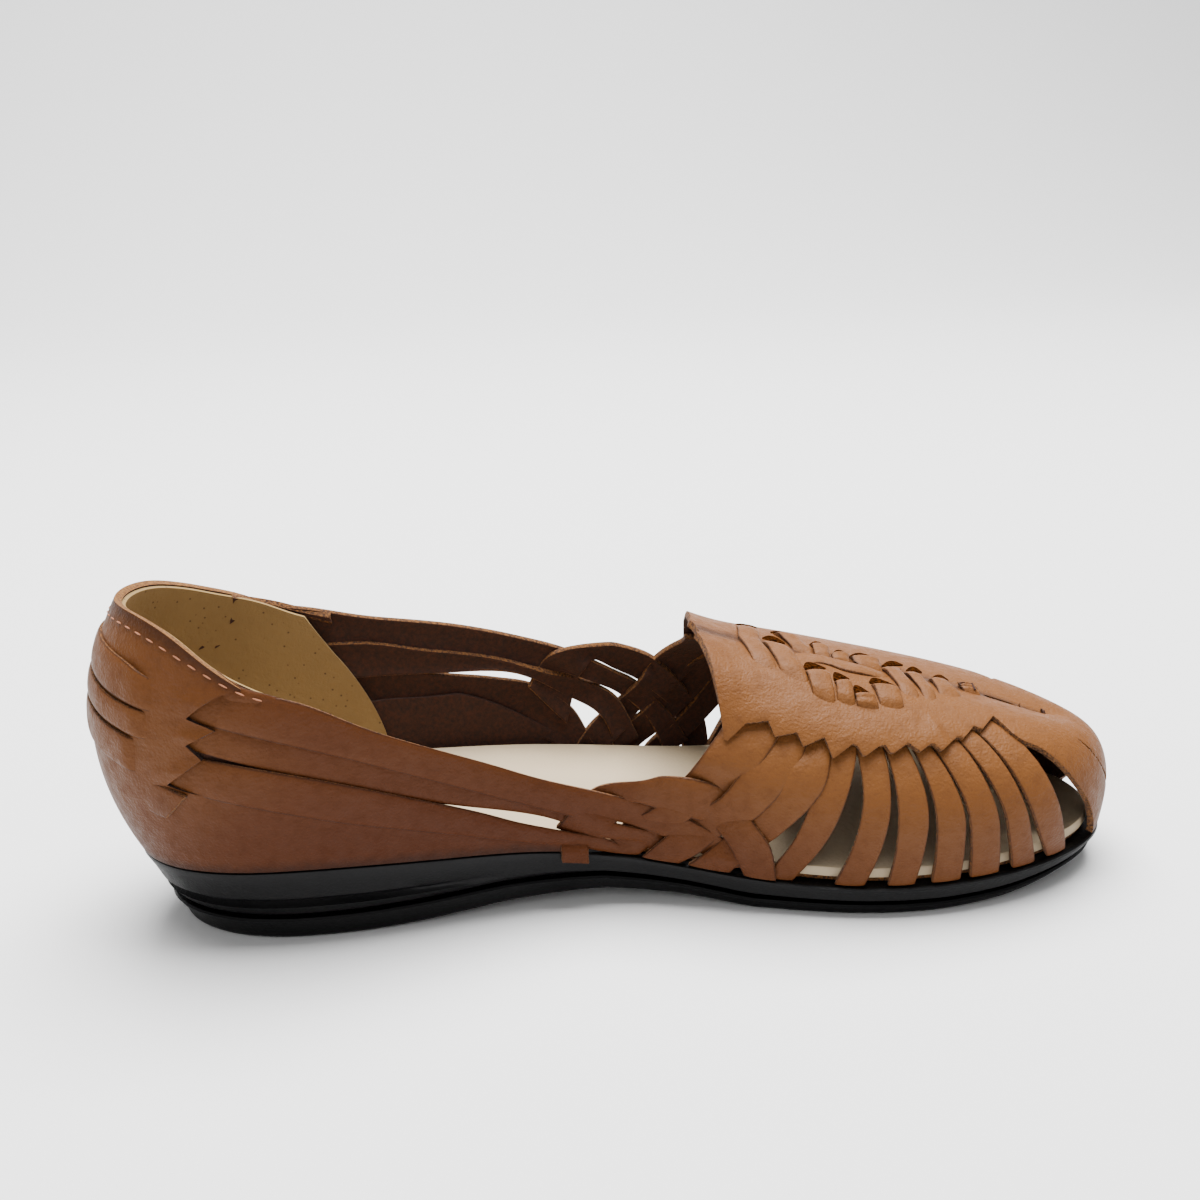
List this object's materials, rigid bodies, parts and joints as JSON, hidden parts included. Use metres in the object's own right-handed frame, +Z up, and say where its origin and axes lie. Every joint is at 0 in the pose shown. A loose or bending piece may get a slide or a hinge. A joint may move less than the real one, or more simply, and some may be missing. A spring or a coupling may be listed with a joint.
{
  "type": "huarache sandal",
  "caption": "Left woven leather huarache sandal with an open collar, openings between its straps and a low moulded rubber wedge sole.",
  "frame": {"origin": "middle of the heel's flat spot on the floor", "axes": "+X towards the toe, +Y towards the outer side of the left foot, +Z up"},
  "size_m": [0.2614, 0.0903, 0.0849],
  "materials": {
    "tread_rubber": "satin",
    "wedge_rubber": "satin",
    "footbed_leather": "smooth natural",
    "upper_leather": "fine grain, soft sheen",
    "lining_suede": "suede"
  },
  "bodies": {
    "root": {"outsole": "tread_rubber", "midsole": "wedge_rubber", "insole": "footbed_leather", "upper": "upper_leather", "heel_lining": "lining_suede"}
  },
  "joints": []
}
